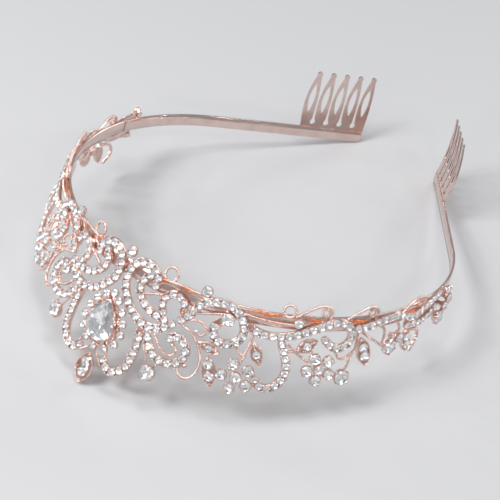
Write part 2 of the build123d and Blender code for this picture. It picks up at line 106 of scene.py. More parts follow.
# Beaded wires and loops
near_crown_wires = [[(11.3, -6.8), (14.1, -5.6), (15.8, -5)], [(19.9, 0.4), (23.5, 0.6), (26.8, 0.4)],
                    [(30.9, -5.6), (33.3, -4.9), (35.6, -4.2)]]
middle_crown_wires = [[(46.4, -1.9), (52, -2.3), (58.4, -2.3)],
                      [(62.2, 1.2), (65, 3), (68.4, 4.8), (71.6, 5.1), (73.4, 3.7), (73.2, 2)]]
far_crown_wires = [[(80.6, 1.7), (83, 3.1), (86.2, 4.8), (89.2, 5.1), (90.9, 3.7), (90.6, 1.9)],
                   [(103.8, 2), (106, 3.5), (109, 5), (112, 5.1), (113.7, 3.7), (113.4, 1.8)]]
near_rings = [(17, 2.6, 2.4)]
middle_rings = [(58.7, 2.2, 2.1), (71.1, 3, 1.3)]
far_rings = [(88.6, 3, 1.3), (111.4, 3, 1.3)]
curl_wires = [[(25.9, -11.6), (28.6, -12.6), (31.2, -14.6), (33.2, -17.6), (34.3, -21), (34.3, -24.4),
               (33, -27.2), (30.8, -28.4), (28.7, -27), (28.7, -25), (30.3, -24.3)],
              [(28.2, -8.9), (30.4, -8.4), (32.9, -9.3), (33.6, -11.6), (32.2, -13), (30.7, -12)]]
thick_wire = [(18.6, -18.4), (19.7, -20), (21.7, -22.1), (24, -23), (25.9, -22), (26.2, -20.2),
              (24.9, -19.2)]
finial_prongs = [[(15.9, -22.9), (17.2, -25.6), (18.6, -28.3)], [(21.9, -27.2), (21.3, -28.6)]]
drop_wires = [[(86.6, -4.6), (89.6, -6.6), (92.4, -8.4), (94.6, -10)],
              [(92.6, -2.2), (94.9, -3.8), (95.5, -6.4), (95.2, -9.4)],
              [(101.2, -3.0), (102.2, -4.8), (101.6, -6.2), (100.4, -6.6)]]
near_flower_wires = [[(48.5, -9), (48, -12), (47.4, -15), (46.8, -17.6)],
                     [(44.6, -13.9), (45.4, -15.1), (46.5, -15.4)]]
far_flower_wires = [[(84.2, -5.2), (84.1, -9), (83.1, -12.8), (82, -16.2)],
                    [(77.2, -11.5), (78.6, -13.3), (80.8, -13.3), (82.4, -11.9)]]
far_leaf_wires = [[(61.4, -10.2), (64, -12.3), (67, -14.2)], [(61.8, -11.6), (67.5, -11.2)]]
end_arch = [(108.4, -7.3), (111.4, -7.7), (113.8, -9.2), (114.7, -11.8), (113.9, -14.2), (112.4, -15.8)]

# Leaf-shaped settings: middle s, middle n, length, width, angle
near_leaves = [(36.0, -15.8, 8.2, 3.9, -12), (37.9, -23.6, 11.2, 5.0, -72), (50.9, -14.2, 9.0, 4.3, -65)]
far_leaves = [(66.6, -9.0, 8.4, 4.3, 33), (87.6, -11.4, 12.0, 5.4, -71)]
end_leaf = (107.2, -11.2, 9.6, 4.8, -78)
centre_leaf = (0, -40.3, 12.4, 7.0, -90)
leaf_stones = [(36.0, -15.9), (37.2, -21.4), (38.4, -25.2), (50.9, -14.2), (66.6, -9.0), (87.0, -9.6),
               (88.1, -13.0), (106.9, -9.4), (107.5, -12.5)]
centre_leaf_stones = [(0, -38.2), (0, -42.0)]

# Flowers, round settings and the hanging drop: middle s, middle n, size. Flowers also have the angle of their
# first petal, and end studs how far out they stand
near_flower = (46.2, -23.3, 4.4, 111)
far_flower = (72.2, -17.3, 4.1, 118)
petal_radius = 2.1
near_finial, far_finial = (20.0, -31.2, 2.8), (80.6, -20.2, 2.8)
near_stud, middle_stud = (30.6, 1.9, 1.9), (62.4, -1.6, 1.3)
spiral_end = (39.6, -4.9, 2.3)
side_studs = [(105.8, -4.3, 1.5), (102.9, -8.8, 1.9)]
end_studs = [(126.9, 3.7, 1.8, 3.0), (127.8, 0.5, 1.8, 3.9), (125.4, -1.8, 1.8, 3.9),
             (122.6, -5.6, 2.6, 3.9)]
drop_centre, drop_radius, drop_tip = (98.8, -11.6), 2.9, (98.2, -6.4)

# Centre pear
pear_point, pear_base, pear_half_width, pear_wide_at = -14.4, -29.9, 6.0, -23.8
halo = [(0, -12.3), (2.7, -13.9), (5.3, -16.8), (6.9, -20.3), (7.6, -24.1), (6.7, -27.9), (3.9, -30.9),
        (0, -32.0), (-3.9, -30.9), (-6.7, -27.9), (-7.6, -24.1), (-6.9, -20.3), (-5.3, -16.8),
        (-2.7, -13.9)]
top_stud = (0, 3.2, 2.0)

# ------------------------------------------------------------------ places on the tiara
ring_origin = Vector((0, -rest_forward, rest_lift))
ring_x = Vector((1, 0, 0))
ring_y = Vector((0, cos(rest_tilt), -sin(rest_tilt)))
ring_z = Vector((0, sin(rest_tilt), cos(rest_tilt)))
front_end = front_radius * front_angle
side_end = front_end + side_radius * (side_angle - front_angle)


def heading(s):
    """Angle by which the headband has turned at s; negative on the left."""
    a = abs(s)
    h = a / front_radius if a < front_end else min(side_angle, front_angle + (a - front_end) / side_radius)
    return h if s >= 0 else -h


def plan(s, out=0.0):
    """Point of the headband plane at s along it, moved outwards by out."""
    a, h = abs(s), abs(heading(s))
    if a < front_end:
        x, y = front_radius * sin(h), front_radius * (1 - cos(h))
    else:
        straight = max(0, a - side_end)
        x = front_radius * sin(front_angle) + side_radius * (sin(h) - sin(front_angle)) \
            + straight * cos(side_angle)
        y = front_radius * (1 - cos(front_angle)) + side_radius * (cos(front_angle) - cos(h)) \
            + straight * sin(side_angle)
    x, y = x + out * sin(h), y - out * cos(h)
    return (x if s >= 0 else -x), y


def seat(s, n):
    """Point (s, n) of the leaning front and its directions along, up and outwards."""
    h = heading(s)
    slope = tan(radians(flare_front * max(0, 1 - (s / flare_length) ** 2)))
    x, y = plan(s, (band_height / 2 - n) * slope)
    along = ring_x * cos(h) + ring_y * sin(h)
    out = (ring_x * sin(h) - ring_y * cos(h) + ring_z * slope).normalized()
    return ring_origin + ring_x * x + ring_y * y + ring_z * n, (along, out.cross(along), out)


def front_at(s, n, o):
    """Point o outside the leaning front at (s, n)."""
    base, axes = seat(s, n)
    return base + axes[2] * o


# ------------------------------------------------------------------ curves
def smooth(points, step=0.45, closed=False):
    """Evenly spaced (point, direction) pairs on a natural spline through points."""
    p = np.array(list(points) + ([points[0]] if closed else []), float)
    t = np.concatenate([[0], np.cumsum(np.hypot(*np.diff(p, axis=0).T))])
    n = len(p)
    a, b = np.eye(n), np.zeros((n, 2))
    for i in range(1, n - 1):
        before, after = t[i] - t[i - 1], t[i + 1] - t[i]
        a[i, i - 1:i + 2] = before, 2 * (before + after), after
        b[i] = 6 * ((p[i + 1] - p[i]) / after - (p[i] - p[i - 1]) / before)
    m = np.linalg.solve(a, b)
    samples_per_point = 60
    u = np.linspace(0, t[-1], samples_per_point * n)
    k = np.clip(np.searchsorted(t, u, side="right") - 1, 0, n - 2)
    h, x, y = (t[k + 1] - t[k])[:, None], (t[k + 1] - u)[:, None], (u - t[k])[:, None]
    q = (m[k] * x ** 3 + m[k + 1] * y ** 3) / (6 * h) \
        + (p[k] / h - m[k] * h / 6) * x + (p[k + 1] / h - m[k + 1] * h / 6) * y
    length = np.concatenate([[0], np.cumsum(np.hypot(*np.diff(q, axis=0).T))])
    at = np.linspace(0, length[-1], max(2, ceil(length[-1] / step)) + 1)
    even = np.stack([np.interp(at, length, q[:, 0]), np.interp(at, length, q[:, 1])], 1)
    d = np.gradient(even, axis=0)
    d /= np.hypot(*d.T)[:, None]
    pairs = [(tuple(v), tuple(w)) for v, w in zip(even, d)]
    return pairs[:-1] if closed else pairs


def spaced(points, pitch, share=0.0, closed=False):
    """Places every pitch along the curve, starting a share of a pitch from its end."""
    grain = 0.05
    fine = smooth(points, grain, closed)
    count = max(1, round((len(fine) - 1) * grain / pitch))
    step = (len(fine) - 1) / count
    last = count if share or closed else count + 1
    return [fine[min(len(fine) - 1, round((i + share) * step))] for i in range(last)]


def circle(radius, count, start=0.0):
    """Points evenly around a circle."""
    return [(radius * cos(start + 2 * pi * i / count), radius * sin(start + 2 * pi * i / count))
            for i in range(count)]


# ------------------------------------------------------------------ mesh building
class Shape:
    """Vertices and faces gathered before they become one object."""

    def __init__(self):
        self.verts, self.faces, self.mats, self.flat = [], [], [], []

    def add(self, verts, faces, mat=0, flat=False):
        start = len(self.verts)
        self.verts += [tuple(v) for v in verts]
        self.faces += [tuple(start + i for i in face) for face in faces]
        self.mats += [mat] * len(faces) if isinstance(mat, int) else mat
        self.flat += [flat] * len(faces)

    def skin(self, rings, mat=0, loop=False):
        """Surface through rings of equal length, closed by end faces or into a loop."""
        m, n = len(rings), len(rings[0])
        faces = [(i * n + j, i * n + (j + 1) % n, (i + 1) % m * n + (j + 1) % n, (i + 1) % m * n + j)
                 for i in range(m if loop else m - 1) for j in range(n)]
        if not loop:
            faces += [tuple(range(n - 1, -1, -1)), tuple(range((m - 1) * n, m * n))]
        self.add([v for ring in rings for v in ring], faces, mat)
        if not loop:
            self.flat[-2:] = True, True


def mesh(name, shape, mats, sign=1):
    """Object made of a shape; sign -1 mirrors it to the left side."""
    data = bpy.data.meshes.new(name)
    faces = shape.faces if sign > 0 else [face[::-1] for face in shape.faces]
    data.from_pydata([(x * sign * MM, y * MM, z * MM) for x, y, z in shape.verts], [], faces)
    data.polygons.foreach_set("use_smooth", [not flat for flat in shape.flat])
    data.polygons.foreach_set("material_index", shape.mats)
    for mat in mats:
        data.materials.append(mat)
    obj = bpy.data.objects.new(name, data)
    bpy.context.scene.collection.objects.link(obj)
    return obj


def bead(shape, centre, axes, radius, tall=1.0, mat=0):
    """Round bead of metal, tall times as far through as across."""
    along, up, out = axes
    columns, rows = 8, 5
    verts = [centre - out * radius * tall]
    for i in range(1, rows):
        r, z = radius * sin(pi * i / rows), -radius * tall * cos(pi * i / rows)
        verts += [centre + along * x + up * y + out * z for x, y in circle(r, columns)]
    verts.append(centre + out * radius * tall)
    top = len(verts) - 1
    faces = [(0, 1 + (j + 1) % columns, 1 + j) for j in range(columns)]
    faces += [(1 + i * columns + j, 1 + i * columns + (j + 1) % columns,
               1 + (i + 1) * columns + (j + 1) % columns, 1 + (i + 1) * columns + j)
              for i in range(rows - 2) for j in range(columns)]
    faces += [(top - columns + j, top - columns + (j + 1) % columns, top) for j in range(columns)]
    shape.add(verts, faces, mat)


def bead_at(shape, s, n, o, radius, tall=1.0, mat=0):
    """Bead at a place of the front, o outside it."""
    base, axes = seat(s, n)
    bead(shape, base + axes[2] * o, axes, radius, tall, mat)


def sweep(shape, points, profile, step=0.45, closed=False, mat=0):
    """Profile of (left, out) points carried along a curve of the front."""
    shape.skin([[front_at(p[0] - d[1] * u, p[1] + d[0] * u, o) for u, o in profile]
                for p, d in smooth(points, step, closed)], mat, loop=closed)


def vessel(shape, s, n, outline, steps, mat=0):
    """Solid of stacked outlines: outline(inset) gives one, steps are (inset, out) from back to floor."""
    base, (along, up, out) = seat(s, n)
    shape.skin([[base + along * x + up * y + out * o for x, y in outline(inset)]
                for inset, o in steps], mat)


def tube(shape, centres, radii, sides=8, mat=0):
    """Round rod through 3-D points."""
    rings = []
    for i, (c, r) in enumerate(zip(centres, radii)):
        d = (centres[min(i + 1, len(centres) - 1)] - centres[max(i - 1, 0)]).normalized()
        u = d.cross(ring_z if abs(d.dot(ring_z)) < 0.9 else ring_x).normalized()
        v = d.cross(u)
        rings.append([c + u * x + v * y for x, y in circle(r, sides)])
    shape.skin(rings, mat)


def cut_stone(shape, centre, axes, outline, table=0.56, crown=0.5, depth=0.95, girdle=0.14):
    """Faceted stone over an outline with an even number of points: clear crown and foiled back."""
    along, up, out = axes
    n = len(outline)
    h = n // 2
    star_height, star_spread, pit_height, pit_spread = 0.56, 1.06, 0.64, 0.40

    def at(i, k, z):
        x, y = outline[i % n]
        return centre + along * x * k + up * y * k + out * z

    verts = [at(i, 1, girdle) for i in range(n)] + [at(i, 1, 0) for i in range(n)]
    verts += [at(2 * j, table, girdle + crown) for j in range(h)]
    verts += [at(2 * j + 1, (table + star_spread) / 2, girdle + crown * star_height) for j in range(h)]
    verts += [at(2 * j + 1, pit_spread, -depth * pit_height) for j in range(h)] + [centre - out * depth]
    low, top, mid, pit, tip = n, 2 * n, 2 * n + h, 2 * n + 2 * h, 2 * n + 3 * h
    faces, mats = [tuple(range(top, top + h))], [0]
    for j in range(h):
        k, q, a, b, c = (j + 1) % h, (j - 1) % h, 2 * j, 2 * j + 1, (2 * j + 2) % n
        faces += [(top + j, mid + j, top + k), (top + j, mid + q, a, mid + j)]
        faces += [(mid + j, a, b), (mid + j, b, c)]
        faces += [(a, low + a, low + b, b), (b, low + b, low + c, c)]
        faces += [(low + a, pit + j, low + b), (low + b, pit + j, low + c)]
        faces += [(low + a, pit + q, tip, pit + j)]
        mats += [0] * 4 + [1] * 5
    shape.add(verts, faces, mats, flat=True)


def round_stone(shape, s, n, o, radius, count=16, deep=0.74):
    """Brilliant with a slightly uneven set, as glued stones have."""
    base, (along, up, out) = seat(s, n)
    turn = Matrix.Rotation(dice.uniform(0, pi), 3, out)
    nod, roll = dice.gauss(0, stone_tilt), dice.gauss(0, stone_tilt)
    tip = Matrix.Rotation(nod, 3, along) @ Matrix.Rotation(roll, 3, up)
    axes = [tip @ turn @ v for v in (along, up)] + [tip @ out]
    cut_stone(shape, base + out * o, axes, circle(radius, count), crown=0.42 * radius, depth=deep * radius,
              girdle=0.1 + 0.02 * radius)


# ------------------------------------------------------------------ finishes
def material(name):
    """New material with its nodes, links and shader, and the object's own coordinates."""
    mat = bpy.data.materials.new(name)
    mat.use_nodes = True
    nodes, links = mat.node_tree.nodes, mat.node_tree.links
    return mat, nodes, links, nodes["Principled BSDF"], nodes.new("ShaderNodeTexCoord").outputs["Object"]


def noise(nodes, links, place, scale, detail=2):
    """Noise laid over the coordinates of a place socket."""
    texture = nodes.new("ShaderNodeTexNoise")
    texture.inputs["Scale"].default_value = scale
    texture.inputs["Detail"].default_value = detail
    links.new(place, texture.inputs["Vector"])
    return texture.outputs["Fac"]


def two_tones(nodes, links, shader, source, low, deep, high, light):
    """Base colour that goes from deep at low to light at high values of a source socket."""
    colour = nodes.new("ShaderNodeValToRGB")
    colour.color_ramp.elements[0].position, colour.color_ramp.elements[0].color = low, (*deep, 1)
    colour.color_ramp.elements[1].position, colour.color_ramp.elements[1].color = high, (*light, 1)
    links.new(source, colour.inputs["Fac"])
    links.new(colour.outputs["Color"], shader.inputs["Base Color"])


def uneven_gloss(nodes, links, shader, source, smoothest, roughest, start=0.0):
    """Roughness that follows a source socket from start to 1."""
    gloss = nodes.new("ShaderNodeMapRange")
    gloss.inputs["From Min"].default_value = start
    gloss.inputs["To Min"].default_value = smoothest
    gloss.inputs["To Max"].default_value = roughest
    links.new(source, gloss.inputs["Value"])
    links.new(gloss.outputs["Result"], shader.inputs["Roughness"])


def plating(name, light, deep, rough, grain, bump):
    """Rose-gold plate: colour, gloss and surface waver slightly over the casting."""
    wear_scale, fine_scale, relief_depth = 260, 1500, 0.00004
    mat, nodes, links, shader, place = material(name)
    shader.inputs["Metallic"].default_value = 1.0
    stretch = nodes.new("ShaderNodeMapping")
    stretch.inputs["Scale"].default_value = grain
    links.new(place, stretch.inputs["Vector"])
    wear = noise(nodes, links, place, wear_scale, 4)
    fine = noise(nodes, links, stretch.outputs["Vector"], fine_scale, 3)
    two_tones(nodes, links, shader, wear, 0.3, deep, 0.7, light)
    uneven_gloss(nodes, links, shader, fine, rough * 0.6, rough * 1.5)
    relief = nodes.new("ShaderNodeBump")
    relief.inputs["Strength"].default_value = bump
    relief.inputs["Distance"].default_value = relief_depth
    links.new(fine, relief.inputs["Height"])
    links.new(relief.outputs["Normal"], shader.inputs["Normal"])
    return mat


def foil(name, light, deep):
    """Silvered back of a stone, uneven in tone, with a faint glow in place of light bounced inside it."""
    tone_scale, glow = 900, 0.1
    mat, nodes, links, shader, place = material(name)
    shader.inputs["Metallic"].default_value = 1.0
    shader.inputs["Roughness"].default_value = 0.04
    shader.inputs["Emission Color"].default_value = (1, 1, 1, 1)
    shader.inputs["Emission Strength"].default_value = glow
    two_tones(nodes, links, shader, noise(nodes, links, place, tone_scale), 0.35, deep, 0.6, light)
    return mat


def clear_glass(name):
    """Clear cut glass with faint polishing marks."""
    marks_scale, marks_start, marks_rough, lead_glass = 700, 0.55, 0.05, 1.56
    mat, nodes, links, shader, place = material(name)
    shader.inputs["Base Color"].default_value = (1, 1, 1, 1)
    shader.inputs["Transmission Weight"].default_value = 1.0
    shader.inputs["IOR"].default_value = lead_glass
    marks = noise(nodes, links, place, marks_scale)
    uneven_gloss(nodes, links, shader, marks, 0.0, marks_rough, marks_start)
    return mat


cast_metal = plating("cast_rose_gold", (0.89, 0.71, 0.65), (0.70, 0.48, 0.41), 0.15, (1, 1, 1), 0.35)
band_metal = plating("band_rose_gold", (0.79, 0.64, 0.60), (0.70, 0.53, 0.48), 0.14, (1, 1, 9), 0.12)
# Copper-orange plate, a painted reflection: the orange light that the rose-gold metal bounces into its
# creases and between its parts, painted as a colour
painted_reflection_copper = plating("copper_painted_reflection", (0.90, 0.40, 0.22), (0.72, 0.24, 0.11), 0.24, (1, 1, 1), 0.5)
glass = clear_glass("cut_glass")
foil_back = foil("foil_back", (0.97, 0.97, 0.98), (0.80, 0.80, 0.82))


# ------------------------------------------------------------------ settings
stones_set = []  # (s, n, radius) of every stone placed so far
rows = []  # (metal, points, half width, pitch) of every row, for the grains set once all stones are placed


def free(s, n, radius):
    """Whether a stone fits here beside those already set; if so the place is taken."""
    if any((s - a) ** 2 + (n - b) ** 2 < (radius + r - stone_overlap) ** 2 for a, b, r in stones_set):
        return False
    stones_set.append((s, n, radius))
    return True


def cup(shape, s, n, radius, rim=1.4, floor=cup_floor, wall=0.34):
    """Round cup with a soft rim and a flat floor."""
    soft = 0.08
    vessel(shape, s, n, lambda inset: circle(radius - inset, 20),
           [(0.3, cast_back), (0, 0.42), (0, rim - 0.1), (soft, rim), (wall - soft, rim), (wall, rim - 0.1),
            (wall + 0.1, floor)])


def claws(shape, s, n, radius, top, count=4, start=pi / 4, thick=0.27, low=0.5):
    """Claws bent over the edge of a stone of this radius."""
    base, (along, up, out) = seat(s, n)
    for x, y in circle(1, count, start):
        d = along * x + up * y
        path = [(radius + 0.24, low), (radius + 0.24, top - 0.5), (radius + 0.16, top - 0.16),
                (radius - 0.06, top), (radius - 0.3, top + 0.02)]
        tube(shape, [base + d * r + out * o for r, o in path],
             [thick, thick, thick, thick * 0.9, thick * 0.45])


def row(metal, stones, points, width, pitch=2.78):
    """Stones in a row along a raised channel with a round end at both ends."""
    w, rim, edge, gap = width / 2, row_rim, 0.06, 0.03
    side = [(w - 0.14, cast_back), (w, 0.3), (w, rim - 0.09), (w - 0.09, rim), (w - 0.26, rim),
            (w - 0.34, rim - 0.1), (w - 0.4, cup_floor)]
    sweep(metal, points, side + [(-u, o) for u, o in side[::-1]])
    for p in (points[0], points[-1]):
        cup(metal, *p, w, rim - 0.01)
    radius = min(w - edge, pitch / 2 - gap)
    for (s, n), _ in spaced(points, pitch):
        if free(s, n, radius):
            round_stone(stones, s, n, row_seat, radius)
    rows.append((metal, points, w, pitch))


def grains(shape, points, w, pitch):
    """Grains of metal raised between the stones of a row, at both edges, and beads where no stone is."""
    inset, edge_overlap, gap_overlap = 0.3, 0.1, 0.3
    for (s, n), d in spaced(points, pitch, 0.5):
        for side in (1, -1):
            a, b = s - d[1] * side * (w - inset), n + d[0] * side * (w - inset)
            if all((a - p) ** 2 + (b - q) ** 2 > (r - edge_overlap) ** 2 for p, q, r in stones_set):
                bead_at(shape, a, b, 1.45, 0.5, 1.3)
        if all((s - p) ** 2 + (n - q) ** 2 > (r - gap_overlap) ** 2 for p, q, r in stones_set):
            bead_at(shape, s, n, 0.9, 0.6)


def run_on(a, b, reach):
    """Point reach beyond a on the line from b to a."""
    k = reach / sqrt((a[0] - b[0]) ** 2 + (a[1] - b[1]) ** 2)
    return a[0] + (a[0] - b[0]) * k, a[1] + (a[1] - b[1]) * k


def beaded_wire(shape, points, closed=False, size=0.56, out=0.9, reach=1.1, curl=False):
    """Wire rolled into a string of small beads, run on to meet its neighbours; a curl ends in a ball."""
    if curl:
        bead_at(shape, *points[-1], out + 0.1, size * 1.5, 0.9)
        points = [run_on(*points[:2], reach), *points]
    elif not closed:
        points = [run_on(*points[:2], reach), *points, run_on(*points[:-3:-1], reach)]
    core_share, core_tall, core_sunk, bead_pitch = 0.72, 1.2, 0.12, 1.55
    core = circle(size * core_share, 8, pi / 8)
    sweep(shape, points, [(y, out - core_sunk + x * core_tall) for x, y in core], 0.4, closed)
    for (s, n), _ in spaced(points, size * bead_pitch, 0, closed):
        bead_at(shape, s, n, out, size, 1.05)


def loop(s, n, radius):
    """Points of a small ring."""
    return [(s + x, n + y) for x, y in circle(radius, 10)]


def lens(length, width, angle, count=28):
    """Outline of a pointed oval, for an inset."""
    point_inset, fullness = 1.8, 2.3

    def outline(inset):
        a, b = length / 2 - point_inset * inset, width / 2 - inset
        c, k = cos(radians(angle)), sin(radians(angle))
        half = [(-cos(pi * i / (count // 2)), -1) for i in range(count // 2)]
        around = half + [(-t, 1) for t, _ in half]
        across = [b * (1 - abs(t) ** fullness) for t, _ in around]
        return [(a * t * c - y * side * k, a * t * k + y * side * c)
                for (t, side), y in zip(around, across)]
    return outline


def leaf(metal, stones, shape, spots, radius):
    """Pointed oval tray with a rolled rim, a beaded ledge and its stones."""
    s, n, length, width, angle = shape
    outline = lens(length, width, angle)
    vessel(metal, s, n, outline, [(0.35, cast_back), (0, 0.45), (0, 1.4), (0.06, 1.54), (0.16, 1.6),
                                  (0.26, 1.54), (0.32, 1.4), (0.45, 0.8)])
    c, k = cos(radians(angle)), sin(radians(angle))
    ledge_inset, ledge_pitch, gone = 0.5, 0.5, 0.0
    edge = [(s + x, n + y) for x, y in lens(length, width, angle, 60)(ledge_inset)]
    for (a, b), (p, q) in zip(edge, edge[1:] + edge[:1]):
        gone += ((a - p) ** 2 + (b - q) ** 2) ** 0.5
        if gone > ledge_pitch:
            gone = 0.0
            bead_at(metal, p, q, 1.38, 0.3)
    for end in (-1, 1):
        for along in (0.38, 0.29, 0.2):
            p, q = s + end * c * length * along, n + end * k * length * along
            if all((p - a) ** 2 + (q - b) ** 2 > (r + 0.2) ** 2 for a, b, r in stones_set):
                bead_at(metal, p, q, 1.25, 0.5)
    for a, b in spots:
        round_stone(stones, a, b, leaf_seat, radius, deep=0.5)


def teardrop(half, low, high, turn=0.0, count=32):
    """Outline of a drop pointing up, for an inset; its widest line passes through the origin."""
    point_inset, fullness = 1.2, 0.9

    def outline(inset):
        w, d, t = half - inset, low - inset, high - point_inset * inset
        quarter = count // 4
        right = [(w * cos(pi / 2 * i / quarter) ** fullness, t * i / quarter) for i in range(quarter)]
        left = [(-x, y) for x, y in right[1:]][::-1] + [(-w, 0)]
        base = [(w * cos(pi + pi * i / (2 * quarter)), d * sin(pi + pi * i / (2 * quarter)))
                for i in range(1, 2 * quarter)]
        return [(x * cos(turn) - y * sin(turn), x * sin(turn) + y * cos(turn))
                for x, y in right + [(0, t)] + left + base]
    return outline


def flower(metal, stones, middle):
    """Round heart and five petals, each a clawed cup with a stone."""
    s, n, spread, turn = middle
    heart_radius, heart_cup, heart_rim = 1.8, 2.0, 1.75
    for i in range(5):
        a = radians(turn + 72 * i)
        p, q = s + spread * cos(a), n + spread * sin(a)
        cup(metal, p, q, petal_radius)
        claws(metal, p, q, petal_radius - claw_inset, 2.05, start=a + pi / 4)
        free(p, q, petal_radius - stone_inset)
        round_stone(stones, p, q, petal_seat, petal_radius - stone_inset, deep=0.54)
    cup(metal, s, n, heart_cup, heart_rim)
    claws(metal, s, n, heart_radius, 2.45, 5, radians(turn + 36))
    free(s, n, heart_radius)
    round_stone(stones, s, n, heart_seat, heart_radius)


def stud(metal, stones, s, n, radius, girdle=stud_seat):
    """Larger stone in a round cup with four claws, on a post where it stands well out."""
    if girdle > post_above:
        deep = 0.76 * (radius - stone_inset)  # a little more than the stone's own depth
        post, neck = radius - stud_post_inset, girdle - deep
        vessel(metal, s, n, lambda inset: circle(radius - inset, 20),
               [(post, cast_back), (post, neck - 0.6), (0.6, neck - 0.15), (0.1, girdle - deep / 2),
                (0, girdle - 0.1), (0.1, girdle), (0.3, girdle), (0.55, neck)])
    else:
        cup(metal, s, n, radius, girdle - 0.03, max(0.2, girdle - 0.8 * radius))
    claws(metal, s, n, radius - claw_inset, girdle + 0.7, start=pi / 4 + dice.uniform(-0.3, 0.3),
          low=girdle - 0.9)
    free(s, n, radius - stone_inset)
    round_stone(stones, s, n, girdle, radius - stone_inset)


# ------------------------------------------------------------------ pieces of the right side, by CAD node
made = {name: Shape() for name in (
    "near_flower", "far_flower", "near_finial", "near_crown", "middle_crown", "far_crown", "near_leaves",
    "far_leaves", "drop_setting", "end_spray", "outer_scroll", "inner_scrolls", "spiral_scroll",
    "cradle_scroll", "thick_scroll", "rail_scroll", "hanging_scroll", "end_rail", "curl_wires",
    "pave_stones", "petal_stones", "leaf_stones", "large_stones", "drop_stone")}

for name, middle, wires in (("near_flower", near_flower, near_flower_wires),
                            ("far_flower", far_flower, far_flower_wires)):
    flower(made[name], made["petal_stones"], middle)
    for wire in wires:
        beaded_wire(made[name], wire)

for name, spot in (("near_finial", near_finial), ("far_flower", far_finial)):
    stud(made[name], made["large_stones"], *spot, tall_seat)
pin_height, pin_radius = 0.9, 0.36
for pin in finial_prongs:
    path = smooth(pin, 0.8)
    tube(made["near_finial"], [front_at(*p, pin_height) for p, _ in path], [pin_radius] * len(path))

for name, wires, loops in (("near_crown", near_crown_wires, near_rings),
                           ("middle_crown", middle_crown_wires, middle_rings),
                           ("far_crown", far_crown_wires, far_rings)):
    for wire in wires:  # short ones run on further to meet their neighbours, long ones end in a hook
        beaded_wire(made[name], wire, reach=2.4 if len(wire) < 4 else 1.1)
    for ring in loops:
        beaded_wire(made[name], loop(*ring), True)
stud(made["near_crown"], made["large_stones"], *near_stud)
cup(made["middle_crown"], *middle_stud[:2], middle_stud[2] + 0.4, stud_seat)
free(*middle_stud)
round_stone(made["large_stones"], *middle_stud[:2], stud_seat, middle_stud[2] + 0.2)

for name, leaves in (("near_leaves", near_leaves), ("far_leaves", far_leaves), ("end_spray", [end_leaf])):
    for shape in leaves:
        s, n, length, width, _ = shape
        stone = 0.33 * width
        inside = [(p, q) for p, q in leaf_stones if (p - s) ** 2 + (q - n) ** 2 < (length / 2) ** 2 / 2]
        for spot in inside:
            free(*spot, stone)
        leaf(made[name], made["leaf_stones"], shape, inside, stone)

drop_wall, drop_turn, drop_height = 0.42, -0.11, 0.75 * (drop_tip[1] - drop_centre[1])
drop = teardrop(drop_radius, drop_radius, drop_height, drop_turn, 24)
vessel(made["drop_setting"], *drop_centre, drop, [
    (0.4, cast_back), (0, 0.5), (0, 1.5), (0.1, 1.6), (0.3, 1.6), (drop_wall, 1.5), (0.5, 0.3)])
base, axes = seat(*drop_centre)
cut_stone(made["drop_stone"], base + axes[2] * drop_seat, axes, drop(drop_wall), 0.5, 0.95, 1.1)
free(*drop_centre, 2.5)
claws(made["drop_setting"], *drop_centre, drop_radius - 0.35, 2.15, 5, -pi / 2 - 2 * pi / 5)
for wire in drop_wires:
    beaded_wire(made["drop_setting"], wire)
beaded_wire(made["drop_setting"], loop(drop_tip[0] + 0.2, drop_tip[1] - 0.3, 0.75), True, 0.45)

for spot in side_studs + end_studs:
    stud(made["end_spray"], made["large_stones"], *spot)
beaded_wire(made["end_spray"], end_arch, size=0.7)

# The spiral's own end is left to the larger stone set there
stud(made["spiral_scroll"], made["pave_stones"], *spiral_end, tall_seat)
for name, points, width in (("outer_scroll", outer_scroll, 2.9), ("spiral_scroll", spiral_scroll[:-1], 2.9),
                            ("thick_scroll", thick_scroll, 2.9), ("cradle_scroll", cradle_scroll, 2.8),
                            ("rail_scroll", rail_scroll, 2.8), ("hanging_scroll", hanging_scroll, 2.8),
                            ("end_rail", end_rail, 2.8), ("end_spray", end_scroll, 2.6),
                            ("inner_scrolls", inner_scroll, 2.7), ("inner_scrolls", ring_scroll, 2.5)):
    row(made[name], made["pave_stones"], points, width)
beaded_wire(made["thick_scroll"], thick_wire, curl=True)
for wire in curl_wires:
    beaded_wire(made["curl_wires"], wire, curl=True)

# Plain rail that joins the openwork to the headband, with raised solder in places painted copper-bright: a
# painted reflection of the orange light that the metal bounces into its creases
rail = {"near_crown": (12.5, 45.5, [(14, 18.5), (20.5, 27.5)]),
        "middle_crown": (45.5, 79, [(46, 57), (64.5, 70.5)]),
        "far_crown": (79, 114, [(81, 87.5), (104, 109.5)])}
rail_profile = [(0.6, 0.04), (0.6, 0.38), (0.45, 0.5), (-0.45, 0.5), (-0.6, 0.38), (-0.6, 0.04)]
rail_n, rail_waver = -0.6, 0.1
for name, (start, end, solder_and_painted_reflection) in rail.items():
    sweep(made[name], [(start + (end - start) * i / 5, rail_n - rail_waver * (i % 2)) for i in range(6)],
          rail_profile, 0.8)
    for a, b in solder_and_painted_reflection:
        # Spindle of solder in the copper of the painted reflection
        steps = [i / 16 for i in range(17)]
        tube(made[name], [front_at(a + (b - a) * t, -0.1 + 0.25 * sin(9 * t), 0.35) for t in steps],
             [0.12 + 0.6 * sin(pi * t) ** 0.6 + 0.08 * sin(31 * t) for t in steps], mat=1)
for wire in far_leaf_wires:
    beaded_wire(made["far_leaves"], wire)

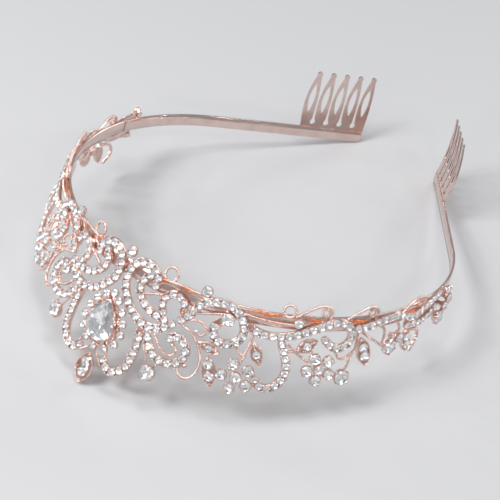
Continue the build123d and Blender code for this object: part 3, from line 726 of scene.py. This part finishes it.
# Centre of the front
centre = {name: Shape() for name in (
    "centre_pear_setting", "centre_leaf", "centre_top_stud",
    "centre_pear_stone", "centre_small_stones", "centre_top_stone")}
pear_shape = pear_half_width, pear_wide_at - pear_base, pear_point - pear_wide_at
pear = teardrop(*pear_shape)
middle = (0, pear_wide_at)
vessel(centre["centre_pear_setting"], *middle, pear, [
    (-1.2, cast_back), (-1.5, 0.3), (-1.5, 0.55), (-1.3, 0.7), (-0.5, 0.7), (-0.35, 0.9), (-0.3, 2.5),
    (-0.2, pear_seat), (0.0, pear_seat), (0.1, 2.5), (0.3, 0.35)])
base, axes = seat(*middle)
cut_stone(centre["centre_pear_stone"], base + axes[2] * pear_seat, axes, teardrop(*pear_shape, count=16)(0),
          table=0.56, crown=1.4, depth=2.1, girdle=0.2)
pear_claws = (-150, -90, -30, 20, 160)
for angle in pear_claws:
    x, y = pear_half_width * cos(radians(angle)), (pear_wide_at - pear_base) * sin(radians(angle))
    d = (axes[0] * x + axes[1] * y).normalized()
    reach = (x * x + y * y) ** 0.5
    path = [(reach + 0.25, 0.7), (reach + 0.25, 2.6), (reach + 0.1, 3.05), (reach - 0.35, 3.3),
            (reach - 0.7, 3.4)]
    tube(centre["centre_pear_setting"], [base + d * r + axes[2] * o for r, o in path],
         [0.4, 0.4, 0.4, 0.34, 0.18])
halo_cup, halo_stone, halo_clear = 1.45, 1.28, 1.2
for i, (s, n) in enumerate(halo):
    free(s, n, halo_clear)
    cup(centre["centre_pear_setting"], s, n, halo_cup, 1.7, 0.6, 0.3)
    round_stone(centre["centre_small_stones"], s, n, halo_seat, halo_stone)
    p, q = halo[(i + 1) % len(halo)]  # the next one, for the bead between the two on the pear's side
    bead_at(centre["centre_pear_setting"], 0.43 * (s + p),
            pear_wide_at + 0.88 * ((n + q) / 2 - pear_wide_at), 1.75, 0.4, 1.4)
top_stone = top_stud[2] - 0.3
free(*top_stud[:2], top_stone)
cup(centre["centre_top_stud"], *top_stud, 1.65)
claws(centre["centre_top_stud"], *top_stud[:2], top_stone, 2.25)
round_stone(centre["centre_top_stone"], *top_stud[:2], stud_seat, top_stone)
centre_leaf_stone = 1.75
for spot in centre_leaf_stones:
    free(*spot, centre_leaf_stone)
leaf(centre["centre_leaf"], centre["centre_small_stones"], centre_leaf, centre_leaf_stones,
     centre_leaf_stone)
for side in (1, -1):
    for wire in ([(5.2, -32.2), (5.6, -33.6)], [(1.3, -33.2), (2.6, -34.4), (3.6, -35.6)]):
        beaded_wire(centre["centre_pear_setting"], [(side * s, n) for s, n in wire], reach=0.4)

for metal, points, w, pitch in rows:
    grains(metal, points, w, pitch)

for name, shape in {**made, **centre}.items():
    is_stone = name.endswith(("stone", "stones"))
    mats = [glass, foil_back] if is_stone else [cast_metal, painted_reflection_copper]
    for side, sign in (("right", 1), ("left", -1)) if name in made else (("", 1),):
        piece = mesh("_".join(filter(None, (name, side, "look"))), shape, mats, sign)
        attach(piece, "front")
        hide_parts("_".join(filter(None, (side, name))))


# ------------------------------------------------------------------ headband
def strip(start, end, rounded=0.0):
    """Flat strip with soft edges between two places along the headband."""
    shape = Shape()
    h, soft = band_height / 2, strip_edge
    count = ceil(abs(end - start) / strip_facet)
    stops = [start + (end - start) * i / count for i in range(count)]
    if rounded:
        stops += [end - rounded * (1 - sin(pi / 2 * i / end_facets)) for i in range(end_facets + 1)]
    else:
        stops.append(end)
    rings = []
    for s in sorted(set(round(v, 4) for v in stops)):
        over = max(0, s - (end - rounded)) if rounded else 0
        top = h - rounded + sqrt(max(rounded ** 2 - over ** 2, 0)) if rounded else h
        profile = [(-top, -soft), (-top + soft, 0), (0, 0.0), (top - soft, 0), (top, -soft),
                   (top, soft - band_thickness), (top - soft, -band_thickness), (0, -band_thickness),
                   (-top + soft, -band_thickness), (-top, soft - band_thickness)]
        drop = band_drop * max(0, 1 - (s / drop_length) ** 2)
        rings.append([front_at(s, n - drop, o) for n, o in profile])
    shape.skin([ring[::-1] for ring in rings])
    return shape


seam_at = flex_at - seam_before_hinge
front_strip = strip(-seam_at, seam_at)
piece = mesh("front_band_look", front_strip, [band_metal])
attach(piece, "front")
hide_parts("headband_front")
arm_strip = strip(seam_at, band_half_length, end_radius)
for side, sign in (("right", 1), ("left", -1)):
    piece = mesh(f"{side}_arm_look", arm_strip, [band_metal], sign)
    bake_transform(piece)
    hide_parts(f"headband_{side}_arm")
    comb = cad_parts[f"{side}_comb"]
    comb.data.materials.clear()
    comb.data.materials.append(band_metal)

# Solder along the seam between each comb and the headband's edge; its beads are painted copper-bright, a
# painted reflection
seam = Shape()
comb_start, comb_end, seam_n, seam_facets = 201.3, 230.2, 2.55, 60
for face in (-0.08, -0.92):
    stops = [comb_start + (comb_end - comb_start) * i / seam_facets for i in range(seam_facets + 1)]
    tube(seam, [front_at(s, seam_n, face) for s in stops], [0.16 + dice.uniform(0, 0.07) for _ in stops])
    s = comb_start
    while s < comb_end - 0.5:
        s += dice.uniform(0.35, 1.6)
        # Solder beads in the copper of the painted reflection
        bead_at(seam, s, seam_n + dice.uniform(-0.05, 0.12), face, dice.uniform(0.2, 0.32), 0.9, 1)
for side, sign in (("right", 1), ("left", -1)):
    piece = mesh(f"{side}_comb_solder_look", seam, [cast_metal, painted_reflection_copper], sign)
    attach(piece, f"{side}_arm")

# ------------------------------------------------------------------ setting: floor, light and camera
scene = bpy.context.scene
floor_mesh = bpy.data.meshes.new("floor")
reach, floor_gap = 4, 0.0001
floor_mesh.from_pydata([(-reach, -reach, 0), (reach, -reach, 0), (reach, reach, 0), (-reach, reach, 0)], [],
                       [(0, 1, 2, 3)])
floor = bpy.data.objects.new("floor", floor_mesh)
floor.location.z = -floor_gap
scene.collection.objects.link(floor)
floor_mat = bpy.data.materials.new("pale_floor")
floor_mat.use_nodes = True
floor_shader = floor_mat.node_tree.nodes["Principled BSDF"]
pale_grey, soft_white = (0.47, 0.47, 0.48, 1), (0.96, 0.98, 1, 1)
floor_shader.inputs["Base Color"].default_value = pale_grey
floor_shader.inputs["Roughness"].default_value = 0.55
floor_mesh.materials.append(floor_mat)

world = bpy.data.worlds.new("studio")
world.use_nodes = True
sky = world.node_tree.nodes["Background"]
sky.inputs["Color"].default_value = soft_white
sky.inputs["Strength"].default_value = 0.38
scene.world = world
scene.view_settings.view_transform = "Standard"


def softbox(name, angle, height, distance, size, power):
    """Soft rectangular light aimed at the tiara, at an angle in degrees around it from the front."""
    data = bpy.data.lights.new(name, "AREA")
    data.shape, data.size, data.size_y, data.energy = "RECTANGLE", *size, power
    light = bpy.data.objects.new(name, data)
    light.location = (distance * sin(radians(angle)), -distance * cos(radians(angle)), height)
    light.rotation_euler = (lit_point - light.location).to_track_quat("-Z", "Y").to_euler()
    light.visible_camera = False
    scene.collection.objects.link(light)


lit_point = Vector((0, 0, 0.02))
softbox("key", -35, 0.75, 0.6, (0.3, 0.3), 5.6)
softbox("overhead", 180, 1.0, 0.1, (0.5, 0.25), 3.2)
softbox("rear", 170, 0.5, 0.9, (0.8, 0.15), 2.4)
for i in range(7):
    softbox(f"spark_{i}", -80 + 33 * i, 0.35 + 0.16 * (i % 3), 0.7, (0.06, 0.06), 0.55)

camera_data = bpy.data.cameras.new("camera")
camera_data.lens = 94.36
camera_data.sensor_width = 36
camera_data.clip_start = 0.01
camera = bpy.data.objects.new("camera", camera_data)
look, right = Vector((-0.47166, 0.60676, -0.63983)), Vector((0.75286, 0.65486, 0.06602))
turned = Matrix((right, right.cross(look), -look)).transposed().to_4x4()
camera.matrix_world = Matrix.Translation((0.24097, -0.31758, 0.33408)) @ turned
scene.collection.objects.link(camera)
scene.camera = camera
